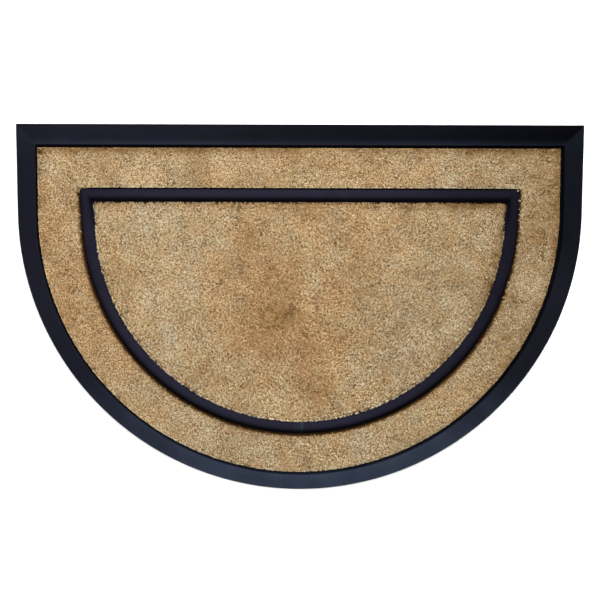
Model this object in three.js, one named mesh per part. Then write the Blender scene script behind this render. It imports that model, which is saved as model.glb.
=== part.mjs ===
// Half-round doormat of rubber and coir, 914 mm wide, 586 mm deep and 13 mm high, lying flat.
// A moulded rubber tray has a thin backing and a sloping border. A rubber strip of the same half-round shape
// stands on the backing. Coir pile fills the tray, as one piece outside the strip and one inside it.
// Millimetres, +Z up. The origin is under the middle of the mat, +X runs along the straight edge, and +Y
// points to the straight edge.
import * as THREE from "three";
import { mergeVertices } from "three/addons/utils/BufferGeometryUtils.js";

// Driving dimensions
const MAT_DEPTH = 586; // from the straight edge to the foot of the arc
const BACKING = 3; // rubber sheet under the coir and the strip
const BED = 0.3; // bed of glue, and the play between a piece and its neighbour
const RIM_HEIGHT = 2.4; // outer edge of the border
const FOOT_BEVEL = 1; // small bevel under the rim
const BORDER_HEIGHT = 11; // crest of the border, beside the coir
const STRIP_HEIGHT = 13; // flat top of the strip
const BAND_HEIGHT = 12.3; // top of the coir outside the strip
const PANEL_HEIGHT = 12.9; // top of the coir inside the strip

// How finely the outlines are drawn
const ARC_STEPS = 84;
const CORNER_STEPS = 3;

// The four half-round outlines, from the outside in: how far the straight edge is from the mat's own, half
// the width, the arc's radius, how far its centre is from the mat's edge, and the radius of the two corners
const OUTLINES = {
  rim: { edge: 0, halfWidth: 457, radius: 453.6, centre: 132.4, corner: 1.2 },
  borderWall: { edge: 34.6, halfWidth: 424, radius: 422.3, centre: 139.7, corner: 2 },
  stripOutside: { edge: 105, halfWidth: 353, radius: 349, centre: 146.5, corner: 5 },
  stripInside: { edge: 125.5, halfWidth: 330.5, radius: 327, centre: 149, corner: 3 },
};

// Border from its rim to the coir: how far in, as a share of its width, and how far below the crest
const BORDER_PROFILE = [
  { inward: 0, below: BORDER_HEIGHT - RIM_HEIGHT },
  { inward: 0.025, below: 7.8 },
  { inward: 0.06, below: 7.3 },
  { inward: 0.35, below: 4.5 },
  { inward: 0.6, below: 2.1 },
  { inward: 0.8, below: 0.7 },
  { inward: 0.95, below: 0 },
  { inward: 0.985, below: 0.3 },
  { inward: 1, below: 1.2 },
];

// Top of the strip from its outside to its inside: how far in, as a share of its width, and how far below
// its flat middle
const STRIP_PROFILE = [
  { inward: 0, below: 3.2 },
  { inward: 0.03, below: 1.9 },
  { inward: 0.09, below: 1 },
  { inward: 0.18, below: 0.4 },
  { inward: 0.3, below: 0.1 },
  { inward: 0.5, below: 0 },
  { inward: 0.7, below: 0.1 },
  { inward: 0.82, below: 0.4 },
  { inward: 0.91, below: 1 },
  { inward: 0.97, below: 1.9 },
  { inward: 1, below: 3.2 },
];

// Top of the coir outside the strip: the rubber that the row is measured from, how far off it, and how far
// below the pile's full height
const BAND_PROFILE = [
  { beside: "border", off: BED, below: 6 },
  { beside: "border", off: 2, below: 4.2 },
  { beside: "border", off: 3.2, below: 1.2 },
  { beside: "border", off: 9, below: 0 },
  { beside: "strip", off: 12, below: 0 },
  { beside: "strip", off: 4.2, below: 1.2 },
  { beside: "strip", off: 2, below: 4.2 },
  { beside: "strip", off: BED, below: 6 },
];

// Top of the coir inside the strip: how far off the strip, and how far below the pile's full height
const PANEL_PROFILE = [
  { off: BED, below: 3.4 },
  { off: 1.4, below: 1 },
  { off: 3.5, below: 0.3 },
  { off: 12, below: 0 },
];

// Materials
const BORDER_RUBBER = new THREE.MeshStandardMaterial({ color: 0x20222e, roughness: 0.55, metalness: 0 });
const STRIP_RUBBER = new THREE.MeshStandardMaterial({ color: 0x24243a, roughness: 0.5, metalness: 0 });
const COIR = new THREE.MeshStandardMaterial({ color: 0xb99f78, roughness: 0.95, metalness: 0 });

// An outline moved in towards its middle by a distance, or out by a negative one
function movedIn(outline, distance) {
  return {
    edge: outline.edge + distance,
    halfWidth: outline.halfWidth - distance,
    radius: outline.radius - distance,
    centre: outline.centre,
    corner: Math.max(outline.corner - distance, 0.5),
  };
}

// The right half of an outline, from its straight edge round the corner, down the side and along the arc to
// the foot. Depth is measured from the mat's straight edge.
function rightHalf({ edge, halfWidth, radius, centre, corner }) {
  const points = [];
  for (let step = 0; step <= CORNER_STEPS; step++) {
    const turn = (Math.PI / 2) * (step / CORNER_STEPS);
    points.push({
      x: halfWidth - corner + corner * Math.sin(turn),
      depth: edge + corner - corner * Math.cos(turn),
    });
  }
  // The side is the line from the corner that touches the arc.
  const rise = centre - edge - corner;
  const reach = Math.hypot(halfWidth, rise);
  const start = Math.atan2(rise, halfWidth) - Math.acos(radius / reach);
  const halfSteps = ARC_STEPS / 2;
  for (let step = 0; step <= halfSteps; step++) {
    const angle = start - (start + Math.PI / 2) * (step / halfSteps);
    points.push({ x: radius * Math.cos(angle), depth: centre - radius * Math.sin(angle) });
  }
  return points;
}

// A whole outline as points in the plan, anticlockwise from above, with the same number in every outline
function planLoop(outline) {
  const right = rightHalf(outline);
  const left = right.slice(0, -1).map((point) => ({ x: -point.x, depth: point.depth }));
  const clockwise = [...right, ...left.reverse()];
  return clockwise.reverse().map((point) => new THREE.Vector2(point.x, MAT_DEPTH / 2 - point.depth));
}

// A loop part of the way from one outline to another, set at a height
function loopBetween(outer, inner, inward, height) {
  const from = planLoop(outer);
  const to = planLoop(inner);
  return from.map((point, index) => {
    const placed = point.clone().lerp(to[index], inward);
    return new THREE.Vector3(placed.x, placed.y, height);
  });
}

function loopAt(outline, height) {
  return loopBetween(outline, outline, 0, height);
}

// A solid from loops of equal length, each joined to the next. A capped one is closed by a flat face at its
// first and last loop, and one that isn't capped is a ring whose last loop joins its first.
function solidFromLoops(loops, capped) {
  const positions = [];
  const addTriangle = (a, b, c) => positions.push(...a.toArray(), ...b.toArray(), ...c.toArray());
  const count = loops[0].length;
  const joins = capped ? loops.length - 1 : loops.length;
  for (let row = 0; row < joins; row++) {
    const lower = loops[row];
    const upper = loops[(row + 1) % loops.length];
    for (let index = 0; index < count; index++) {
      const next = (index + 1) % count;
      addTriangle(lower[index], lower[next], upper[next]);
      addTriangle(lower[index], upper[next], upper[index]);
    }
  }
  if (capped) {
    addCap(loops[0], addTriangle, true);
    addCap(loops[loops.length - 1], addTriangle, false);
  }
  const geometry = new THREE.BufferGeometry();
  geometry.setAttribute("position", new THREE.Float32BufferAttribute(positions, 3));
  const merged = mergeVertices(geometry, 1e-4);
  merged.computeVertexNormals();
  return merged;
}

// A flat face over a loop, as a fan round the loop's middle
function addCap(loop, addTriangle, facesDown) {
  const box = new THREE.Box3().setFromPoints(loop);
  const middle = box.getCenter(new THREE.Vector3());
  loop.forEach((point, index) => {
    const next = loop[(index + 1) % loop.length];
    if (facesDown) addTriangle(middle, next, point);
    else addTriangle(middle, point, next);
  });
}

function namedMesh(name, geometry, material) {
  const mesh = new THREE.Mesh(geometry, material);
  mesh.name = name;
  return mesh;
}

// Rubber tray: the underside, the rim, the sloping border, the wall beside the coir and the backing
function rubberTray() {
  const { rim, borderWall } = OUTLINES;
  const loops = [loopAt(movedIn(rim, FOOT_BEVEL), 0), loopAt(rim, FOOT_BEVEL)];
  for (const row of BORDER_PROFILE) {
    loops.push(loopBetween(rim, borderWall, row.inward, BORDER_HEIGHT - row.below));
  }
  loops.push(loopAt(borderWall, BACKING));
  return namedMesh("rubber_tray", solidFromLoops(loops, true), BORDER_RUBBER);
}

// Rubber strip, standing on the backing between the two pieces of coir
function rubberStrip() {
  const { stripOutside, stripInside } = OUTLINES;
  const loops = [loopAt(stripOutside, BACKING + BED)];
  for (const row of STRIP_PROFILE) {
    loops.push(loopBetween(stripOutside, stripInside, row.inward, STRIP_HEIGHT - row.below));
  }
  loops.push(loopAt(stripInside, BACKING + BED));
  return namedMesh("rubber_strip", solidFromLoops(loops, false), STRIP_RUBBER);
}

// Coir between the border and the strip, low where it meets the rubber
function coirBand() {
  const { borderWall, stripOutside } = OUTLINES;
  const loops = [loopAt(movedIn(borderWall, BED), BACKING + BED)];
  for (const row of BAND_PROFILE) {
    const outline = row.beside === "border" ? movedIn(borderWall, row.off) : movedIn(stripOutside, -row.off);
    loops.push(loopAt(outline, BAND_HEIGHT - row.below));
  }
  loops.push(loopAt(movedIn(stripOutside, -BED), BACKING + BED));
  return namedMesh("coir_band", solidFromLoops(loops, false), COIR);
}

// Coir inside the strip, level with its top
function coirPanel() {
  const { stripInside } = OUTLINES;
  const loops = [loopAt(movedIn(stripInside, BED), BACKING + BED)];
  for (const row of PANEL_PROFILE) {
    loops.push(loopAt(movedIn(stripInside, row.off), PANEL_HEIGHT - row.below));
  }
  return namedMesh("coir_panel", solidFromLoops(loops, true), COIR);
}

const doormat = new THREE.Group();
doormat.name = "doormat";
doormat.add(rubberTray(), rubberStrip(), coirBand(), coirPanel());

export default doormat;
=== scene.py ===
"""A half-round doormat of black rubber and coir, lying on a pale floor and seen from straight above."""

import math

import bmesh
import bpy
import numpy as np
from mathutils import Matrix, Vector, noise
from mathutils.bvhtree import BVHTree


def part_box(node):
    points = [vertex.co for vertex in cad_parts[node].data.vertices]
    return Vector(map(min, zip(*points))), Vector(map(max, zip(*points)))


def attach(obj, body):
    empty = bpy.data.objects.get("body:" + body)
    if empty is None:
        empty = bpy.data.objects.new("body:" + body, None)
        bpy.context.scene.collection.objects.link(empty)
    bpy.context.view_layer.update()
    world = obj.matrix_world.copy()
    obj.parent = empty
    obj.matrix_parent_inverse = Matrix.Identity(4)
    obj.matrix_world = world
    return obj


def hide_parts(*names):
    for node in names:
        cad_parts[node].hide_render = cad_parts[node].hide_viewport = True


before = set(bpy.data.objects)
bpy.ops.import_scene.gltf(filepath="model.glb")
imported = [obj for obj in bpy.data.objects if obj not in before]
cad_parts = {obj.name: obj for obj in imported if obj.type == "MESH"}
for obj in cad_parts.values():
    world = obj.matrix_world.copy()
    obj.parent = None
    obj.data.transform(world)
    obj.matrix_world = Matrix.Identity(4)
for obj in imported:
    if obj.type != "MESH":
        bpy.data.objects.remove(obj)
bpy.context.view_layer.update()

# Rubber tray. One moulding of black rubber: a thin backing sheet, and round it a border that slopes up from
# its rim to a crest beside the coir. Its two corners are mitred. The strip and the coir are glued to it.
RIM = {"top": 0.293, "half_width": 0.457, "centre": 0.1606, "radius": 0.4536, "corner": 0.0012}
WALL = {"top": 0.2584, "half_width": 0.424, "centre": 0.1533, "radius": 0.4223, "corner": 0.002}
TRAY_BACKING = 0.003
RIM_HEIGHT = 0.0024
FOOT_BEVEL = 0.001
CREST_HEIGHT = 0.011
# Painted shade in the groove beside the coir, and a painted highlight up to the crest.
GROOVE = 0.0008
GROOVE_SHADE = 0.4
CREST_WIDTH = 0.015
CREST_GLEAM = 2.85
CREST_GLEAM_SLANT = 3.9  # how much it grows with each metre to the right
MITRE = 0.1648  # abs(x) - y along both mitres
BORDER_SECTION = [  # share of the way in, height
    (0.0, RIM_HEIGHT),
    (0.01, 0.0029),
    (0.03, 0.00335),
    (0.06, 0.0037),
    (0.2, 0.0051),
    (0.35, 0.0066),
    (0.48, 0.0078),
    (0.6, 0.00885),
    (0.7, 0.00965),
    (0.8, 0.0103),
    (0.88, 0.0107),
    (0.925, 0.01088),
    (0.945, CREST_HEIGHT),
    (0.968, 0.01098),
    (0.985, 0.0106),
    (0.995, 0.0100),
    (1.0, 0.0092),
]
ARC_STEPS = 200
CORNER_STEPS = 4


def half_round(top, half_width, centre, radius, corner):
    """Points round a half-round outline. Any two outlines have the same number, which pair off in order."""
    right = []
    for step in range(CORNER_STEPS + 1):
        turn = math.pi / 2 * step / CORNER_STEPS
        along = half_width - corner + corner * math.sin(turn)
        right.append(Vector((along, top - corner + corner * math.cos(turn))))
    rise = top - corner - centre
    start = math.atan2(rise, half_width) - math.acos(radius / math.hypot(half_width, rise))
    for step in range(ARC_STEPS // 2 + 1):
        angle = start - (start + math.pi / 2) * step / (ARC_STEPS // 2)
        right.append(Vector((radius * math.cos(angle), centre + radius * math.sin(angle))))
    left = [Vector((-point.x, point.y)) for point in right[:-1]]
    return right + left[::-1]


def shrunk(outline, distance):
    """The sizes of an outline moved in by a distance."""
    return {
        "top": outline["top"] - distance,
        "half_width": outline["half_width"] - distance,
        "centre": outline["centre"],
        "radius": outline["radius"] - distance,
        "corner": max(outline["corner"] - distance, 0.0005),
    }


def edge_distance(x, y, outline):
    """How far inside an outline a place is. It is negative outside. An outline may be shifted along x."""
    x -= outline.get("shift", 0)
    if y < outline["centre"]:
        return outline["radius"] - math.hypot(x, y - outline["centre"])
    slope = (outline["half_width"] - outline["radius"]) / (outline["top"] - outline["centre"])
    side = outline["half_width"] - abs(x) - slope * (outline["top"] - y)
    return min(side, outline["top"] - y)


def pushed(x, y, outline, distance):
    """The place moved square to an outline until it is a set distance inside it."""
    move = distance - edge_distance(x, y, outline)
    shift = outline.get("shift", 0)
    if y < outline["centre"]:
        reach = math.hypot(x - shift, y - outline["centre"])
        share = (reach - move) / reach
        return shift + (x - shift) * share, outline["centre"] + (y - outline["centre"]) * share
    if move > 0:
        y = min(y, outline["top"] - distance)
        return x - math.copysign(distance - edge_distance(x, y, outline), x - shift), y
    if outline["top"] - y > distance - move + 1e-9:
        return x - math.copysign(move, x - shift), y
    return x, y - move


def add_ring(bm, outline, height):
    verts = [bm.verts.new((point.x, point.y, height)) for point in outline]
    return [bm.edges.new((verts[index - 1], verts[index])) for index in range(len(verts))]


def bridge_rings(bm, rings):
    for lower, upper in zip(rings, rings[1:]):
        bmesh.ops.bridge_loops(bm, edges=lower + upper)


def new_object(name, mesh):
    made = bpy.data.objects.new(name, mesh)
    bpy.context.scene.collection.objects.link(made)
    return made


def rubber_piece(bm, name, node, material, tone):
    """Make a finished rubber piece in place of a CAD node. The tone gives how pale it is at a vertex, as
    painted shade and highlight.
    """
    bmesh.ops.recalc_face_normals(bm, faces=bm.faces)
    for face in bm.faces:
        face.smooth = True
    mesh = bpy.data.meshes.new(name)
    bm.to_mesh(mesh)
    bm.free()
    mesh.materials.append(material)
    tones = mesh.attributes.new("tone", "FLOAT", "POINT")
    for vert, value in zip(mesh.vertices, tones.data):
        value.value = tone(vert)
    piece = new_object(name, mesh)
    weighted = piece.modifiers.new("Flat faces stay flat", "WEIGHTED_NORMAL")
    weighted.weight = 80
    weighted.keep_sharp = True
    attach(piece, "root")
    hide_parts(node)


def add_node(tree, kind, **settings):
    """A shader node with some of its settings."""
    node = tree.nodes.new(kind)
    for name, value in settings.items():
        setattr(node, name, value)
    return node


def noise_node(tree, place, scale, detail, roughness=0.5):
    node = add_node(tree, "ShaderNodeTexNoise")
    node.inputs["Scale"].default_value = scale
    node.inputs["Detail"].default_value = detail
    node.inputs["Roughness"].default_value = roughness
    tree.links.new(place, node.inputs["Vector"])
    return node.outputs["Fac"]


def ramp_node(tree, value, *stops):
    """A colour ramp with stops of (position, colour)."""
    node = add_node(tree, "ShaderNodeValToRGB")
    ramp = node.color_ramp
    ramp.elements[0].position = stops[0][0]
    ramp.elements[-1].position = stops[-1][0]
    for position, _ in stops[1:-1]:
        ramp.elements.new(position)
    for element, (_, colour) in zip(ramp.elements, stops):
        element.color = (*colour, 1)
    tree.links.new(value, node.inputs["Fac"])
    return node.outputs["Color"]


def level_ramp(tree, value, *stops):
    """A ramp of plain levels, with stops of (position, level)."""
    return ramp_node(tree, value, *((position, (level, level, level)) for position, level in stops))


def range_node(tree, value, low, high, to_low, to_high):
    """A value carried from one range to another, and held at its two ends."""
    node = add_node(tree, "ShaderNodeMapRange")
    for name, number in (("From Min", low), ("From Max", high), ("To Min", to_low), ("To Max", to_high)):
        node.inputs[name].default_value = number
    tree.links.new(value, node.inputs["Value"])
    return node.outputs["Result"]


def math_node(tree, operation, first, second=0.0):
    node = add_node(tree, "ShaderNodeMath", operation=operation)
    for socket, value in zip(node.inputs, (first, second)):
        if isinstance(value, float):
            socket.default_value = value
        else:
            tree.links.new(value, socket)
    return node.outputs["Value"]


def mix_node(tree, blend, factor, first, second):
    """One colour over another, by a number or a value."""
    node = add_node(tree, "ShaderNodeMix", data_type="RGBA", blend_type=blend)
    for name, value in (("Factor", factor), ("A", first), ("B", second)):
        if isinstance(value, (float, tuple)):
            node.inputs[name].default_value = value
        else:
            tree.links.new(value, node.inputs[name])
    return node.outputs["Result"]


def bump_node(tree, height, distance):
    node = add_node(tree, "ShaderNodeBump")
    node.inputs["Distance"].default_value = distance
    tree.links.new(height, node.inputs["Height"])
    return node.outputs["Normal"]


def axis_values(tree, place):
    """The first two coordinates of a place."""
    node = add_node(tree, "ShaderNodeSeparateXYZ")
    tree.links.new(place, node.inputs["Vector"])
    return node.outputs["X"], node.outputs["Y"]


def new_material(name):
    """A material, its nodes, its shader and the place on the object."""
    material = bpy.data.materials.new(name)
    material.use_nodes = True
    tree = material.node_tree
    place = add_node(tree, "ShaderNodeTexCoord").outputs["Object"]
    return material, tree, tree.nodes["Principled BSDF"], place


def finish_rubber(tree, shader, place, colour, grain, depth):
    """Rubber's dull sheen and fine grain, with its colour times the tone at each vertex, which holds painted
    shade and highlight.
    """
    tone = add_node(tree, "ShaderNodeAttribute", attribute_name="tone").outputs["Fac"]
    tree.links.new(mix_node(tree, "MULTIPLY", 1.0, colour, tone), shader.inputs["Base Color"])
    shader.inputs["Roughness"].default_value = 0.36
    shader.inputs["Specular IOR Level"].default_value = 0.08
    bump = bump_node(tree, noise_node(tree, place, grain, 2), depth)
    tree.links.new(bump, shader.inputs["Normal"])


def border_shade(tree, x, y):
    """Painted shade on the border by place, darkest at the right of the straight edge. The straight edge and
    the sides meet in a crease at each mitre, with a thin painted highlight along it.
    """
    along = range_node(tree, x, -0.45, 0.45, 0.0, 1.0)
    side_high = ramp_node(tree, along, (0.0, (0.73, 0.73, 0.73)), (1.0, (0.36, 0.42, 0.40)))
    side_low = ramp_node(tree, along, (0.0, (0.96, 0.96, 0.96)), (1.0, (0.66, 0.68, 0.66)))
    side = mix_node(tree, "MIX", range_node(tree, y, 0.12, 0.02, 0.0, 1.0), side_high, side_low)
    near_corner = range_node(tree, y, 0.235, 0.285, 1.0, 1.35)
    side = mix_node(tree, "MULTIPLY", 1.0, side, near_corner)
    top = ramp_node(
        tree,
        along,
        (0.0, (0.54, 0.54, 0.54)),
        (0.07, (0.68, 0.68, 0.68)),
        (0.33, (0.55, 0.55, 0.55)),
        (0.42, (0.41, 0.41, 0.41)),
        (0.6, (0.28, 0.29, 0.29)),
        (0.72, (0.25, 0.27, 0.27)),
        (0.85, (0.14, 0.16, 0.17)),
        (1.0, (0.08, 0.09, 0.11)),
    )
    outside = math_node(tree, "SUBTRACT", math_node(tree, "ABSOLUTE", x), y)
    past_mitre = math_node(tree, "SUBTRACT", outside, MITRE)
    at_top = range_node(tree, past_mitre, -0.0008, 0.0008, 1.0, 0.0)
    # A thin painted highlight along each mitre.
    crease = range_node(tree, math_node(tree, "ABSOLUTE", past_mitre), 0.0006, 0.0035, 1.12, 1.0)
    return mix_node(tree, "MULTIPLY", 1.0, mix_node(tree, "MIX", at_top, side, top), crease)


def border_rubber():
    """Matt black rubber with painted shade, darker at the right of the straight edge, and a cloudy bluish
    painted reflection on the arc.
    """
    material, tree, shader, place = new_material("Border rubber")
    x, y = axis_values(tree, place)
    cloud = noise_node(tree, place, 16, 4, 0.6)
    fine = noise_node(tree, place, 260, 3, 0.6)
    plain = ramp_node(tree, fine, (0.3, (0.0056, 0.0059, 0.0101)), (0.7, (0.0084, 0.0088, 0.0148)))
    shaded = mix_node(tree, "MULTIPLY", 1.0, plain, border_shade(tree, x, y))
    # Painted reflection: a cloudy bluish paleness low on the arc.
    low = range_node(tree, y, -0.11, -0.28, 0.0, 0.85)
    painted_reflection = math_node(tree, "MULTIPLY", low, range_node(tree, cloud, 0.35, 0.65, 0.75, 1.25))
    colour = mix_node(tree, "MIX", painted_reflection, shaded, (0.0255, 0.0335, 0.0545, 1.0))
    finish_rubber(tree, shader, place, colour, 1400, 0.00012)
    return material


def border_painted_light(vert):
    """Painted shade, black in the groove beside the coir, and a painted highlight, paler up to the crest
    along the straight edge.
    """
    x, y, height = vert.co
    off = -edge_distance(x, y, WALL)
    if off < GROOVE:
        return GROOVE_SHADE
    if y < WALL["top"] or height < TRAY_BACKING or abs(x) - y > MITRE:
        return 1.0
    crest = max(1 - off / CREST_WIDTH, 0)
    return 1 + crest**2 * (CREST_GLEAM + x * CREST_GLEAM_SLANT)


tray_mesh = bmesh.new()
rim_line = half_round(**RIM)
wall_line = half_round(**WALL)
tray_rings = [
    add_ring(tray_mesh, half_round(**shrunk(RIM, FOOT_BEVEL)), 0),
    add_ring(tray_mesh, rim_line, FOOT_BEVEL),
]
for share, height in BORDER_SECTION:
    line = [outer.lerp(inner, share) for outer, inner in zip(rim_line, wall_line)]
    tray_rings.append(add_ring(tray_mesh, line, height))
tray_rings.append(add_ring(tray_mesh, wall_line, TRAY_BACKING))
bridge_rings(tray_mesh, tray_rings)
for ring in (tray_rings[0], tray_rings[-1]):
    bmesh.ops.contextual_create(tray_mesh, geom=ring)
rubber_piece(tray_mesh, "rubber_tray_moulding", "rubber_tray", border_rubber(), border_painted_light)

# Rubber strip. A flat-topped profile of black rubber with rounded shoulders, bent to a smaller half-round
# and laid on the backing. Its two ends meet in a glued butt joint at the middle of the arc.
STRIP_OUTSIDE = {"top": 0.188, "half_width": 0.353, "centre": 0.1465, "radius": 0.349, "corner": 0.005}
STRIP_INSIDE = {"top": 0.1675, "half_width": 0.3305, "centre": 0.144, "radius": 0.327, "corner": 0.003}
STRIP_FOOT = 0.0033
STRIP_SECTION = [  # share of the way in, height
    (0.0, 0.0098),
    (0.015, 0.0107),
    (0.05, 0.0115),
    (0.1, 0.01205),
    (0.17, 0.0125),
    (0.26, 0.0128),
    (0.37, 0.01295),
    (0.5, 0.013),
    (0.63, 0.01295),
    (0.74, 0.0128),
    (0.83, 0.0125),
    (0.9, 0.01205),
    (0.95, 0.0115),
    (0.985, 0.0107),
    (1.0, 0.0098),
]


def strip_rubber():
    """Smoother rubber than the border's, with painted shade darker towards its sides and most at the right,
    and the scuffed line of the butt joint.
    """
    material, tree, shader, place = new_material("Strip rubber")
    x, y = axis_values(tree, place)
    cloud = noise_node(tree, place, 30, 3, 0.6)
    plain = ramp_node(tree, cloud, (0.3, (0.0090, 0.0085, 0.0158)), (0.7, (0.0112, 0.0107, 0.0192)))
    across = range_node(tree, x, -0.35, 0.35, 0.0, 1.0)
    # Painted shade, darker towards the sides and most at the right.
    shade = level_ramp(tree, across, (0.0, 0.7), (0.2, 1.0), (0.65, 0.9), (1.0, 0.42))
    shaded = mix_node(tree, "MULTIPLY", 1.0, plain, shade)
    joint = level_ramp(
        tree,
        range_node(tree, x, -0.008, 0.01, 0.0, 1.0),
        (0.0, 0.0),
        (0.12, 0.5),
        (0.2, 0.1),
        (0.42, 0.45),
        (0.55, 0.2),
        (0.62, 1.0),
        (0.74, 0.9),
        (0.8, 0.25),
        (1.0, 0.0),
    )
    at_foot = range_node(tree, y, 0.0, -0.1, 0.0, 1.0)
    scuff = math_node(tree, "MULTIPLY", joint, at_foot)
    colour = mix_node(tree, "MIX", scuff, shaded, (0.014, 0.0235, 0.0315, 1.0))
    finish_rubber(tree, shader, place, colour, 1500, 0.0001)
    return material


def strip_painted_shade(vert):
    """Painted shade: darker on the shoulders, and all down the half of its width that faces away from the
    straight edge.
    """
    x, y = vert.co.xy
    outer = edge_distance(x, y, STRIP_OUTSIDE)
    inner = -edge_distance(x, y, STRIP_INSIDE)
    outward = (outer - inner) / (outer + inner)
    if y < STRIP_INSIDE["top"] - 0.001:
        outward *= min(y - STRIP_INSIDE["centre"], 0) / math.hypot(x, y - STRIP_INSIDE["centre"])
        outward -= 0.2
    away = min(max(outward + 0.1, 0) / 0.65, 1)
    turned = vert.normal
    return max(1 - 0.85 * away - 0.5 * max(turned.y, 0) - 0.5 * abs(turned.x), 0.05)


strip_mesh = bmesh.new()
outer_line = half_round(**STRIP_OUTSIDE)
inner_line = half_round(**STRIP_INSIDE)
strip_rings = [add_ring(strip_mesh, outer_line, STRIP_FOOT)]
for share, height in STRIP_SECTION:
    line = [outer.lerp(inner, share) for outer, inner in zip(outer_line, inner_line)]
    strip_rings.append(add_ring(strip_mesh, line, height))
strip_rings.append(add_ring(strip_mesh, inner_line, STRIP_FOOT))
bridge_rings(strip_mesh, strip_rings + strip_rings[:1])
rubber_piece(strip_mesh, "rubber_strip_profile", "rubber_strip", strip_rubber(), strip_painted_shade)

# Coir band. Coconut fibre bonded in a thick mat, cut level and glued to the backing between the border and
# the strip. Its body is a lumpy sheet, and the fibres standing on it sink and take painted shade beside the
# strip.
MAT_GRID = 0.0024
MAT_FLOOR = 0.0033
MAT_SKIN = 0.0012
MAT_SINK = 0.00255  # how far the mat is below the tips of its fibres
CLUMP = 0.0036
LUMP_HEIGHT = 0.0013
FIBRE_SPACING = 0.00126
FIBRE_WIDTH = 0.00052
FIBRE_ROOT = 0.0008
FIBRE_RISE = (0.0008, 0.005)
FIBRE_LEAN = 1.8
CLUMP_LEAN = 1.2
STEEPEST_LEAN = 0.45
UNEVEN_TOP = 0.0018
UNEVEN_EDGE = 0.0012
MIDDLE_TONE = 0.68
MIDDLE_GREY = 0.5
PALEST_TONE = 0.8
CLOUD_TONE = 0.16
STREAK = (0.02, 0.0032)
STREAK_TONE = 0.15
MOTTLE = 0.0062
MOTTLE_TONE = 0.12
FLECK = 0.0031
FLECK_TONE = 0.2
SPECK = 0.0021
SPECK_TONE = 0.62
# Painted shade beside the rubber: how far it reaches and how dark it makes the coir; and how far the coir
# sinks beside the strip.
TOP_SHADE = 0.014
TOP_DARK = 0.2
SIDE_SHADE = 0.016
SIDE_DARK = 0.18
FOOT_DARK = 0.16
CORNER_FADE = 0.006
STRIP_DARK = 0.95
STRIP_SHADE = 0.0048
STRIP_SHADE_LESS = 0.0016  # how much less of it there is at the right
STRIP_SINK = 0.003
STRAND_STATIONS = 7
STRAND_WIDTH = 0.00021
SHORTEST_STRAND = 0.005
STRAND_SPREAD = 0.011
STRAND_CURL = 3.4
STRAND_ARCH = 0.0004
BAND_STRANDS = 90
MAP_STEP = 0.004  # how far each face reaches in the map that colours the fibres
PILE_TOP = 0.0122
BAND_EDGE = {**shrunk(WALL, 0.0042), "shift": -0.0017}  # cut a little to the left
BAND_HOLE = {"top": 0.1905, "half_width": 0.354, "centre": 0.1465, "radius": 0.350, "corner": 0.005}
PATCHES = [  # middle in x and y, reach, how much paler the coir is there, how much greyer
    (-0.215, 0.10, 0.085, 0.07, 0.2),
    (-0.20, -0.01, 0.075, 0.11, 0.2),
    (-0.24, 0.15, 0.05, 0.05, 0.1),
    (-0.10, 0.03, 0.08, -0.07, -0.2),
    (-0.045, 0.03, 0.06, -0.05, -0.2),
    (-0.06, -0.055, 0.06, -0.08, -0.4),
    (0.0, 0.09, 0.12, -0.05, -0.05),
    (0.03, -0.05, 0.06, -0.08, -0.4),
    (0.11, -0.08, 0.06, 0.05, 0.2),
    (0.03, -0.145, 0.08, -0.09, -0.35),
    (0.17, -0.05, 0.06, -0.06, 0.2),
    (0.22, 0.0, 0.09, -0.05, 0.35),
    (0.40, 0.22, 0.12, -0.15, 0.85),
    (0.28, 0.222, 0.09, -0.05, 0.3),
    (-0.28, 0.222, 0.14, 0.02, 0.15),
    (0.40, 0.0, 0.14, -0.12, 0.85),
    (-0.1, -0.24, 0.16, 0.04, 0.3),
    (0.12, -0.24, 0.14, 0.02, 0.3),
    (-0.39, 0.0, 0.12, -0.07, -0.3),
]
PITS = [  # holes in the pile, painted dark as shade: middle in x and y, reach
    (-0.4165, 0.2472, 0.0042),
    (-0.4125, 0.2462, 0.0026),
    (-0.3655, 0.1880, 0.0016),
    (0.3280, 0.0850, 0.0018),
    (0.3225, 0.0520, 0.0014),
    (-0.3255, 0.1120, 0.0013),
]


def coir_look(flat):
    """How pale and how grey the coir is at a place: broad patches, mottles, specks, and painted shade at
    holes.
    """
    tone = MIDDLE_TONE
    grey = MIDDLE_GREY + noise.fractal(flat * 26 + Vector((4, 4, 1)), 0.8, 2, 4) * 0.5
    for x, y, reach, paler, greyer in PATCHES:
        away = ((flat.x - x) ** 2 + (flat.y - y) ** 2) / reach**2
        if away < 4:
            tone += paler * math.exp(-away)
            grey += greyer * math.exp(-away)
    tone += noise.fractal(flat * 14, 0.6, 2, 5) * CLOUD_TONE
    tone += noise.noise(Vector((flat.x / STREAK[0], flat.y / STREAK[1], 3))) * STREAK_TONE
    tone += noise.noise(flat / MOTTLE + Vector((2, 3, 8))) * MOTTLE_TONE
    tone += min(noise.noise(flat / FLECK + Vector((11, 2, 4))), 0.1) * FLECK_TONE
    tone = min(tone, PALEST_TONE)
    if noise.noise(flat / SPECK + Vector((1, 9, 4))) < -0.37 - 0.35 * noise.noise(flat * 45):
        tone -= SPECK_TONE
    # Painted shade where there are holes in the pile.
    if any(math.hypot(flat.x - x, flat.y - y) < reach for x, y, reach in PITS):
        tone -= 1
    return tone, grey


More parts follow.
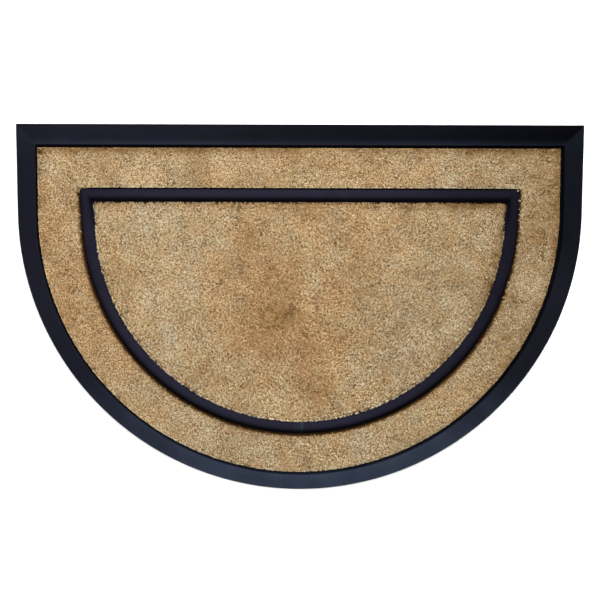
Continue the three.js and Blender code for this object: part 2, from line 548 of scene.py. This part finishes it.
def painted_shade_and_sink(x, y, edge, hole):
    """How much painted shade darkens the coir beside the rubber, and how much lower the coir is there."""
    darker = TOP_DARK * max(1 - (edge["top"] - y) / TOP_SHADE, 0)
    at_right = min(max((x - 0.1) / 0.2, 0), 1)
    at_left = 1 if hole and x < 0 and y > edge["centre"] else 0
    darker += SIDE_DARK * (at_right + at_left) * max(1 - edge_distance(x, y, edge) / SIDE_SHADE, 0)
    lower = 0
    if hole and y < hole["top"]:
        off = max(-edge_distance(x, y, hole), 0)
        reach = STRIP_SHADE - (STRIP_SHADE_LESS * min(max((y + 0.03) / 0.06, 0), 1) if x > 0 else 0)
        beside = math.exp(-((off / reach) ** 3)) * min((hole["top"] - y) / CORNER_FADE, 1)
        darker += STRIP_DARK * beside
        lower = STRIP_SINK * beside
        if y < hole["centre"]:
            share_down = (hole["centre"] - y) / hole["radius"]
            darker += FOOT_DARK * share_down * max(1 - off / SIDE_SHADE, 0)
    return darker, lower


def mat_sheet(name, node, material, edge, hole):
    """The body of a coir mat: the CAD solid on an even grid, cut to an edge and perhaps a hole."""
    solid = bmesh.new()
    solid.from_mesh(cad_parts[node].data)
    bmesh.ops.remove_doubles(solid, verts=solid.verts, dist=1e-5)
    rough = bpy.data.meshes.new(name + "_rough")
    solid.to_mesh(rough)
    solid.free()
    block = new_object(name + "_rough", rough)
    remesh = block.modifiers.new("Even grid", "REMESH")
    remesh.mode = "VOXEL"
    remesh.voxel_size = MAT_GRID
    evaluated = block.evaluated_get(bpy.context.evaluated_depsgraph_get())
    mesh = bpy.data.meshes.new_from_object(evaluated)
    bpy.data.objects.remove(block)

    sheet = bmesh.new()
    sheet.from_mesh(mesh)
    cut = bmesh.ops.bisect_plane(
        sheet,
        geom=[*sheet.verts, *sheet.edges, *sheet.faces],
        plane_co=(0, 0, MAT_FLOOR + MAT_SKIN),
        plane_no=(0, 0, -1),
        clear_outer=True,
    )
    rim = [part for part in cut["geom_cut"] if isinstance(part, bmesh.types.BMEdge)]
    if hole:
        bmesh.ops.bridge_loops(sheet, edges=rim)
    else:
        bmesh.ops.holes_fill(sheet, edges=rim)
    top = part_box(node)[1].z
    for vert in sheet.verts:
        if edge_distance(vert.co.x, vert.co.y, edge) < 0:
            vert.co.xy = pushed(vert.co.x, vert.co.y, edge, 0)
        if hole and edge_distance(vert.co.x, vert.co.y, hole) > 0:
            vert.co.xy = pushed(vert.co.x, vert.co.y, hole, 0)
        lift = (vert.co.z - MAT_FLOOR) / (top - MAT_FLOOR)
        lumps = noise.noise(vert.co / CLUMP) + 0.5 * noise.noise(vert.co / CLUMP / 3)
        vert.co.z -= lift * (MAT_SINK - LUMP_HEIGHT * lumps)
    bmesh.ops.recalc_face_normals(sheet, faces=sheet.faces)
    for face in sheet.faces:
        face.smooth = True
    sheet.to_mesh(mesh)
    sheet.free()
    mesh.name = name
    mesh.materials.clear()
    mesh.materials.append(material)
    # The tone attribute holds the painted shade beside the rubber.
    tones = mesh.attributes.new("tone", "FLOAT", "POINT")
    for vert, value in zip(mesh.vertices, tones.data):
        darker, _ = painted_shade_and_sink(vert.co.x, vert.co.y, edge, hole)
        value.value = max(1 - darker, 0.06)
    return new_object(name, mesh)


def joined_fibres(name, roots, ends, width, spin, tones, greys, material):
    """One mesh of three-sided fibres, blunt end up. The map says how pale and how grey each one is."""
    heading = ends - roots
    heading /= np.linalg.norm(heading, axis=1, keepdims=True)
    side = np.cross(heading, [0.3, 0.9, 0.1])
    side /= np.linalg.norm(side, axis=1, keepdims=True)
    other = np.cross(heading, side)
    corners = [roots]
    for number in range(3):
        turn = spin + number * math.tau / 3
        corners.append(ends + width * (side * np.cos(turn) + other * np.sin(turn)))
    points = np.stack(corners, axis=1).reshape(-1, 3)
    facets = np.array([(0, 2, 1), (0, 3, 2), (0, 1, 3), (1, 2, 3)])
    faces = (np.arange(len(roots))[:, None, None] * 4 + facets).reshape(-1, 3)
    mesh = bpy.data.meshes.new(name)
    mesh.from_pydata(points, [], faces.tolist())
    across = np.array([0, -MAP_STEP, MAP_STEP, 0])[facets.reshape(-1)]
    along = np.array([-MAP_STEP, 0, 0, MAP_STEP])[facets.reshape(-1)]
    u = np.clip(np.array(tones), 0.02, 0.98)[:, None] + across[None, :]
    v = np.clip(np.array(greys), 0.02, 0.98)[:, None] + along[None, :]
    layer = mesh.uv_layers.new(name="OFBake")
    layer.data.foreach_set("uv", np.stack([u.reshape(-1), v.reshape(-1)], axis=1).reshape(-1))
    mesh.materials.append(material)
    return new_object(name, mesh)


def standing_fibres(name, sheet, left, right, top, edge, hole, overhang, material, seed):
    """Fibres on a mat between two values of x. They lean in clumps and keep inside the edge and the hole."""
    random = np.random.default_rng(seed)
    tree = BVHTree.FromObject(sheet, bpy.context.evaluated_depsgraph_get())
    low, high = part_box("coir_band")
    shortest, longest = FIBRE_RISE
    roots, ends, tones, greys = [], [], [], []
    for x in np.arange(left, right, FIBRE_SPACING):
        for y in np.arange(low.y, high.y, FIBRE_SPACING):
            step = (random.random(2) - 0.5) * FIBRE_SPACING * 1.6
            chance = random.random(6)
            hit, normal, _, _ = tree.ray_cast(Vector((x + step[0], y + step[1], 0.1)), Vector((0, 0, -1)))
            if hit is None:
                continue
            flat = Vector((hit.x, hit.y, 0))
            darker, lower = painted_shade_and_sink(hit.x, hit.y, edge, hole)
            clump = flat / CLUMP + Vector((3, 5, 7))
            swirl = Vector((noise.noise(clump), noise.noise(clump + Vector((9.3, -1.5, -7.9))), 0))
            lean = Vector((chance[0] - 0.5, chance[1] - 0.5, 0)) * FIBRE_LEAN + swirl * CLUMP_LEAN
            heading = (normal + lean).normalized()
            heading.z = max(heading.z, STEEPEST_LEAN)
            rise = top - lower - UNEVEN_TOP * chance[2] ** 2 - hit.z
            end = hit + heading * (min(max(rise, shortest), longest) / heading.z)
            allowed = (UNEVEN_EDGE if hole else -overhang * 0.7) * chance[4]
            if edge_distance(end.x, end.y, edge) < max(allowed, overhang * 0.5):
                end.xy = pushed(end.x, end.y, edge, allowed)
            if hole and edge_distance(end.x, end.y, hole) > 0:
                end.xy = pushed(end.x, end.y, hole, 0)
            roots.append(hit - heading * FIBRE_ROOT)
            ends.append(end)
            tone, grey = coir_look(flat)
            # The fibres take the painted shade beside the rubber.
            tones.append(tone - darker - 0.26 * chance[3] ** 2.5)
            greys.append(grey + 0.2 * (chance[5] - 0.5))
    width = FIBRE_WIDTH * (0.75 + 0.7 * random.random((len(roots), 1)))
    spin = random.random((len(roots), 1)) * math.tau
    return joined_fibres(name, np.array(roots), np.array(ends), width, spin, tones, greys, material)


def loose_strands(name, places, top, material, seed):
    """Long single fibres that lie in a curl on top, as one mesh: a place and a length for each."""
    random = np.random.default_rng(seed)
    spans = STRAND_STATIONS - 1
    points, faces, tones = [], [], []
    for x, y, length in places:
        angle = random.random() * math.tau
        bend = (random.random() - 0.5) * STRAND_CURL
        spot = np.array([x, y])
        first = len(points)
        for station in range(STRAND_STATIONS):
            share = station / spans
            height = top + STRAND_ARCH * math.sin(share * math.pi)
            width = STRAND_WIDTH * (1 - 0.7 * abs(2 * share - 1) ** 3)
            across = np.array([-math.sin(angle), math.cos(angle)]) * width
            points.append((*(spot + across), height))
            points.append((*(spot - across), height))
            points.append((*spot, height + width * 1.6))
            spot = spot + np.array([math.cos(angle), math.sin(angle)]) * length / spans
            angle += bend / spans
        for row in range(first, first + spans * 3, 3):
            for corner in range(3):
                after = (corner + 1) % 3
                faces.append((row + corner, row + after, row + 3 + after, row + 3 + corner))
        last = first + spans * 3
        faces.append((first + 2, first + 1, first))
        faces.append((last, last + 1, last + 2))
        tones += [0.75 + 0.2 * random.random()] * (spans * 3 + 2)
    mesh = bpy.data.meshes.new(name)
    mesh.from_pydata(points, [], faces)
    solid = bmesh.new()
    solid.from_mesh(mesh)
    bmesh.ops.recalc_face_normals(solid, faces=solid.faces)
    solid.to_mesh(mesh)
    solid.free()
    layer = mesh.uv_layers.new(name="OFBake")
    for face, tone in zip(mesh.polygons, tones):
        for corner, (u, v) in zip(face.loop_indices, ((0, 0), (1, 0), (1, 1), (0, 1))):
            layer.data[corner].uv = (tone + MAP_STEP * u, 0.6 + MAP_STEP * v)
    mesh.materials.append(material)
    return new_object(name, mesh)


def scattered(count, left, right, low, high, wanted, seed):
    """Random places in a box that pass a test, each with a length."""
    random = np.random.default_rng(seed)
    places = []
    while len(places) < count:
        x, y, length = random.random(3)
        place = (left + (right - left) * x, low + (high - low) * y)
        if wanted(*place):
            places.append((*place, SHORTEST_STRAND + STRAND_SPREAD * length**2))
    return places


def mat_coir():
    """The depth of the mat between the fibres, painted dark as its shade, and darker where painted shade
    falls beside the rubber.
    """
    material, tree, shader, place = new_material("Coir in the mat")
    cloud = noise_node(tree, place, 320, 3, 0.6)
    colour = ramp_node(tree, cloud, (0.3, (0.11, 0.052, 0.018)), (0.7, (0.36, 0.215, 0.09)))
    tone = add_node(tree, "ShaderNodeAttribute", attribute_name="tone").outputs["Fac"]
    tree.links.new(mix_node(tree, "MULTIPLY", 1.0, colour, tone), shader.inputs["Base Color"])
    shader.inputs["Roughness"].default_value = 0.9
    tree.links.new(bump_node(tree, cloud, 0.001), shader.inputs["Normal"])
    return material


def fibre_coir():
    """Single fibres. The map's first axis is how pale a fibre is, and its second is how grey."""
    material, tree, shader, _ = new_material("Coir fibres")
    pale, grey = axis_values(tree, add_node(tree, "ShaderNodeUVMap", uv_map="OFBake").outputs["UV"])
    tone = ramp_node(
        tree,
        pale,
        (0.0, (0.03, 0.012, 0.003)),
        (0.1, (0.1, 0.046, 0.014)),
        (0.25, (0.26, 0.153, 0.06)),
        (0.55, (0.5, 0.38, 0.228)),
        (0.8, (0.64, 0.53, 0.365)),
        (1.0, (0.69, 0.595, 0.435)),
    )
    tint = ramp_node(
        tree,
        grey,
        (0.0, (1.0, 0.91, 0.8)),
        (0.5, (0.96, 0.96, 0.9)),
        (1.0, (0.89, 0.995, 1.08)),
    )
    tree.links.new(mix_node(tree, "MULTIPLY", 1.0, tone, tint), shader.inputs["Base Color"])
    shader.inputs["Roughness"].default_value = 0.75
    return material


MAT_COIR = mat_coir()
FIBRE_COIR = fibre_coir()
band = mat_sheet("coir_band_mat", "coir_band", MAT_COIR, BAND_EDGE, BAND_HOLE)
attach(band, "root")
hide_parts("coir_band")
band_low, band_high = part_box("coir_band")
for number, (left, right) in enumerate(((band_low.x, 0), (0, band_high.x))):
    name = f"coir_band_fibres_{number + 1}"
    fibres = standing_fibres(
        name, band, left, right, PILE_TOP, BAND_EDGE, BAND_HOLE, 0, FIBRE_COIR, 20 + number
    )
    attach(fibres, "root")
band_strands = loose_strands(
    "coir_band_strands",
    scattered(
        BAND_STRANDS,
        band_low.x,
        band_high.x,
        band_low.y,
        band_high.y,
        lambda x, y: edge_distance(x, y, BAND_EDGE) > 0.012 and edge_distance(x, y, BAND_HOLE) < -0.012,
        40,
    ),
    PILE_TOP + 0.0002,
    FIBRE_COIR,
    41,
)
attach(band_strands, "root")

# Coir panel. The same mat of coconut fibre, cut to fit inside the strip and glued to the backing. It is
# level with the strip's top, and its outermost fibres hang over the strip's inner shoulder as a fringe.
PANEL_TOP = 0.0129
PANEL_EDGE = {"top": 0.1650, "half_width": 0.3302, "centre": 0.144, "radius": 0.3267, "shift": -0.0004}
FRINGE = 0.0035
PANEL_STRANDS = 110
PLAIN_STRANDS = [(0.0395, -0.004, 0.016), (-0.016, -0.116, 0.014)]  # two that show: x, y, length
panel = mat_sheet("coir_panel_mat", "coir_panel", MAT_COIR, PANEL_EDGE, None)
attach(panel, "root")
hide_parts("coir_panel")
panel_low, panel_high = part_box("coir_panel")
third = (panel_high.x - panel_low.x) / 3
for number in range(3):
    left = panel_low.x + number * third
    right = left + third
    name = f"coir_panel_fibres_{number + 1}"
    fibres = standing_fibres(
        name, panel, left, right, PANEL_TOP, PANEL_EDGE, None, FRINGE, FIBRE_COIR, 30 + number
    )
    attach(fibres, "root")
panel_strands = loose_strands(
    "coir_panel_strands",
    PLAIN_STRANDS
    + scattered(
        PANEL_STRANDS,
        panel_low.x,
        panel_high.x,
        panel_low.y,
        panel_high.y,
        lambda x, y: edge_distance(x, y, PANEL_EDGE) > 0.01,
        42,
    ),
    PANEL_TOP,
    FIBRE_COIR,
    43,
)
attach(panel_strands, "root")

# Floor, lights and camera. A white studio floor, a key light behind the straight edge and a little to the
# right, a broad dim one overhead and a weak one at each side.
FLOOR_SIZE = 12
CAMERA_LENS = 120
CAMERA_SENSOR = 36
VIEW_WIDTH = 0.9635
VIEW_MIDDLE = (0.0006, 0.0107)
VIEW_ROLL = 0.17
MAT_TOP = 0.006

floor_mesh = bmesh.new()
bmesh.ops.create_grid(floor_mesh, x_segments=1, y_segments=1, size=FLOOR_SIZE / 2)
floor_data = bpy.data.meshes.new("floor")
floor_mesh.to_mesh(floor_data)
floor_mesh.free()
floor = new_object("floor", floor_data)
floor_paint, _, floor_shader, _ = new_material("Floor paint")
floor_shader.inputs["Base Color"].default_value = (0.92, 0.92, 0.92, 1)
floor_shader.inputs["Roughness"].default_value = 0.9
floor_data.materials.append(floor_paint)


def area_light(name, place, size, power, colour):
    """A round softbox that faces the mat, and isn't seen in reflections."""
    lamp = bpy.data.lights.new(name, "AREA")
    lamp.shape = "DISK"
    lamp.size = size
    lamp.energy = power
    lamp.color = colour
    light = new_object(name, lamp)
    light.location = place
    light.rotation_euler = (-Vector(place)).to_track_quat("-Z", "Y").to_euler()
    light.visible_glossy = False


area_light("key", (0.5, 2.8, 2.1), 1.2, 250, (1.0, 0.98, 0.95))
area_light("overhead", (0, 0.6, 5.0), 2.4, 150, (1.0, 1.0, 1.0))
area_light("left", (-3.2, 0.2, 2.0), 1.6, 70, (1.0, 1.0, 1.0))
area_light("right", (3.2, 0.0, 2.0), 1.6, 50, (1.0, 1.0, 1.0))
world = bpy.data.worlds.new("Studio")
bpy.context.scene.world = world
world.use_nodes = True
world.node_tree.nodes["Background"].inputs["Color"].default_value = (1.0, 1.0, 1.0, 1)
world.node_tree.nodes["Background"].inputs["Strength"].default_value = 0.12
bpy.context.scene.view_settings.view_transform = "Standard"

camera_data = bpy.data.cameras.new("camera")
camera_data.lens = CAMERA_LENS
camera_data.sensor_width = CAMERA_SENSOR
camera = new_object("camera", camera_data)
camera_height = MAT_TOP + VIEW_WIDTH * CAMERA_LENS / CAMERA_SENSOR
camera.location = (*VIEW_MIDDLE, camera_height)
camera.rotation_euler = (0, 0, math.radians(VIEW_ROLL))
bpy.context.scene.camera = camera

bpy.context.view_layer.update()
